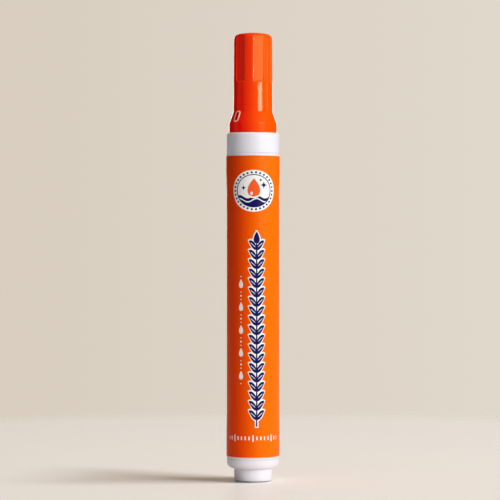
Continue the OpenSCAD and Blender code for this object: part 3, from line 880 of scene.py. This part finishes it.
def valve_spring(steel):
    """The valve's spring as one smooth wire, its turns closer at both ends."""
    low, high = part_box("valve_spring")
    mean_r = (high.x - low.x - SPRING_WIRE) / 2
    bottom = low.z + SPRING_WIRE / 2
    rise = high.z - low.z - SPRING_WIRE
    pitch = rise / (SPRING_TURNS - 1 + SPRING_END_PITCH)

    def eased(t):
        return SPRING_END_PITCH * t + (1 - SPRING_END_PITCH) * t * t / 2

    def climb(t):
        if t < 1:
            return eased(t)
        if t > SPRING_TURNS - 1:
            return SPRING_TURNS - 1 + SPRING_END_PITCH - eased(SPRING_TURNS - t)
        return t - 1 + eased(1)

    line = []
    for i in range(SPRING_TURNS * SPRING_RINGS + 1):
        t = i / SPRING_RINGS
        turn = 2 * math.pi * t
        line.append(Vector((mean_r * math.cos(turn), mean_r * math.sin(turn), bottom + pitch * climb(t))))
    spring = tube("wound_spring", line, SPRING_WIRE / 2, SPRING_SIDES)
    spring.data.materials.append(steel)
    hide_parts("valve_spring")
    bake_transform(spring)
    return spring


# The floor, the backdrop, the curtains, the lamps and the camera


def floor_finish():
    """Pale satin floor that fades out into the backdrop."""
    made, graph, shader = new_material("Studio Floor", IOR=1.08)
    cloud = graph.noise(position_mm(graph), scale=0.02, detail=2.0)
    colour = graph.mix(graph.range(cloud, 0.3, 0.7, 0, 0.3), FLOOR, FLOOR_CLOUD)
    graph.feed(shader.inputs["Base Color"], colour)
    graph.feed(shader.inputs["Roughness"], graph.range(cloud, 0.3, 0.7, 0.28, 0.30))
    place = graph.split(graph.node("TexCoord").outputs["Object"])
    away = graph.length(place[0], place[1])
    fade = graph.range(away, FLOOR_FADE_START, FLOOR_FADE_END, 0, 1, smooth=True)
    clear = graph.node("BsdfTransparent")
    mixed = graph.node("MixShader", {0: fade, 1: shader.outputs[0], 2: clear.outputs[0]})
    out = made.node_tree.nodes["Material Output"]
    graph.feed(out.inputs["Surface"], mixed.outputs[0])
    return made


def floor():
    half = FLOOR_SIZE / 2
    points = [(-half, -half, 0), (half, -half, 0), (half, half, 0), (-half, half, 0)]
    made = new_object("floor", new_mesh("floor", points, [(0, 1, 2, 3)]))
    made.data.materials.append(floor_finish())
    return made


def backdrop():
    """Even light from all round, and a warm grey wall wherever a ray sees past the floor, with painted
    shade on its left.
    """
    world = bpy.data.worlds.new("Studio")
    world.use_nodes = True
    bpy.context.scene.world = world
    graph = Graph(world.node_tree)
    light = world.node_tree.nodes["Background"]
    light.inputs["Color"].default_value = AMBIENT_LIGHT
    light.inputs["Strength"].default_value = AMBIENT
    blend_half = 0.12
    sideways = graph.split(graph.node("TexCoord").outputs["Generated"])[0]
    # Painted shade: the wall is darker towards the left.
    share = graph.range(sideways, -blend_half, blend_half, 0, 1)
    wall_colour = graph.mix(share, BACKDROP_LEFT, BACKDROP_RIGHT)
    wall = graph.node("Background", {"Color": wall_colour, "Strength": 1.0})
    rays = graph.node("LightPath").outputs
    seen = graph.most(rays["Is Camera Ray"], rays["Is Glossy Ray"], rays["Is Transmission Ray"])
    mixed = graph.node("MixShader", {0: seen, 1: light.outputs[0], 2: wall.outputs[0]})
    graph.feed(world.node_tree.nodes["World Output"].inputs["Surface"], mixed.outputs[0])


def place_round(turn, away, height):
    """A place round the pen's axis, its turn in degrees from the camera to the right."""
    turn = math.radians(turn)
    return (away * math.sin(turn), -away * math.cos(turn), height)


def flags():
    """The two dark curtains. Gloss alone shows them, and they cast no shadow."""
    black = new_material("Flag Cloth", Base_Color=FLAG_BLACK, Roughness=0.95)[0]
    count = FLAG["folds"]
    for name, side in (("right_flag", 1), ("left_flag", -1)):
        points = []
        for i in range(count + 1):
            turn = side * (FLAG["from"] + (FLAG["to"] - FLAG["from"]) * i / count)
            points += [place_round(turn, FLAG["away"], 0), place_round(turn, FLAG["away"], FLAG["high"])]
        faces = [(2 * i, 2 * i + 2, 2 * i + 3, 2 * i + 1) for i in range(count)]
        made = new_object(name, new_mesh(name, points, faces))
        made.data.materials.append(black)
        made.visible_camera = False
        made.visible_diffuse = False
        made.visible_transmission = False
        made.visible_shadow = False


def lamp(name, place, aim, width, height, radiance, colour):
    """A rectangular lamp whose radiance stays the same at any size."""
    light = bpy.data.lights.new(name, "AREA")
    light.shape = "RECTANGLE"
    light.size, light.size_y = width, height
    light.energy = radiance * math.pi * width * height
    light.color = colour
    made = new_object(name, light)
    made.location = place
    made.rotation_euler = (Vector(aim) - Vector(place)).to_track_quat("-Z", "Y").to_euler()
    return made


def standing_lamp(name, spec, colour):
    """A lamp that stands upright and faces the pen's axis."""
    middle = (spec["low"] + spec["high"]) / 2
    place = place_round(spec["turn"], spec["away"], middle)
    tall = spec["high"] - spec["low"]
    return lamp(name, place, (0, 0, middle), spec["width"], tall, spec["radiance"], colour)


def lights_only(light, pieces):
    """Lets a lamp light some pieces alone."""
    lit = bpy.data.collections.new(light.name + " lights")
    for piece in pieces:
        lit.objects.link(piece)
    light.light_linking.receiver_collection = lit


def lights(pieces, ground):
    """Lights the pen with lamps that leave out the floor, and the floor with two lamps of its own.

    So one clear shadow shows on the floor. Some lamps light the cap or the white pieces alone.
    """
    cap = [piece for piece in pieces if piece.name == "cap_shell"]
    white = [piece for piece in pieces if piece.name in FINISHES["white_plastic"][1]]
    for name, spec, colour, lit in (
        ("Key", KEY, PLAIN_LIGHT, pieces),
        ("Strip", STRIP, PLAIN_LIGHT, pieces),
        ("Fill", FILL, FILL_LIGHT, pieces),
        ("White fill", WHITE_FILL, WHITE_FILL_LIGHT, white),
        ("Back", BACK, PLAIN_LIGHT, pieces),
        ("Glint", GLINT, PLAIN_LIGHT, cap),
        ("Bounce", BOUNCE, BOUNCE_LIGHT, cap),
    ):
        lights_only(standing_lamp(name, spec, colour), lit)
    for name, spec, colour, lit in (
        ("Top", TOP, TOP_LIGHT, pieces),
        ("Floor top", FLOOR_TOP, FLOOR_TOP_LIGHT, [ground]),
    ):
        place = (TOP_ASIDE, 0, spec["height"])
        above = lamp(name, place, (0, 0, 0), spec["size"], spec["size"], spec["radiance"], colour)
        lights_only(above, lit)
    spec = SHADOW_LAMP
    place = place_round(spec["turn"], spec["away"], spec["height"])
    high = lamp(
        "Shadow lamp", place, (0, 0, 0), spec["wide"], spec["deep"], spec["radiance"], SHADOW_LIGHT
    )
    lights_only(high, [ground])


def camera():
    """Almost level, on the label's front, a little above the pen's mid height."""
    data = bpy.data.cameras.new("Camera")
    data.sensor_width = SENSOR_MM
    data.lens = FOCAL_PX / PICTURE_PX * SENSOR_MM
    data.clip_start = 10 * MM
    made = new_object("Camera", data)
    centre_px = PICTURE_PX / 2
    made.location = (
        (centre_px - AXIS_PX) * MM_PER_PX * MM,
        -FOCAL_PX * MM_PER_PX * MM,
        (FOOT_PX - HORIZON_PX) * MM_PER_PX * MM,
    )
    dip = math.atan((centre_px - HORIZON_PX) / FOCAL_PX)
    made.rotation_euler = (math.pi / 2 - dip, 0, 0)
    bpy.context.scene.camera = made


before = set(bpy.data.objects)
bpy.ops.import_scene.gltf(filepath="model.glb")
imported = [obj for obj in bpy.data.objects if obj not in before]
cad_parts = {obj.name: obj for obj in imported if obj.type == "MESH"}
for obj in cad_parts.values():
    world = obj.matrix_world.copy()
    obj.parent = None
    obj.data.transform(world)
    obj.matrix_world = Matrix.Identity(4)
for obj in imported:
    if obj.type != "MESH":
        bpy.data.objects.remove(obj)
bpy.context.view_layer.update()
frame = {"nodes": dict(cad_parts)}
build_groups()
finishes = dress(frame)
spring = valve_spring(finishes["spring_steel"])
ground = floor()
backdrop()
flags()
lights([*frame["nodes"].values(), spring], ground)
camera()
bpy.context.scene.view_settings.view_transform = "Standard"
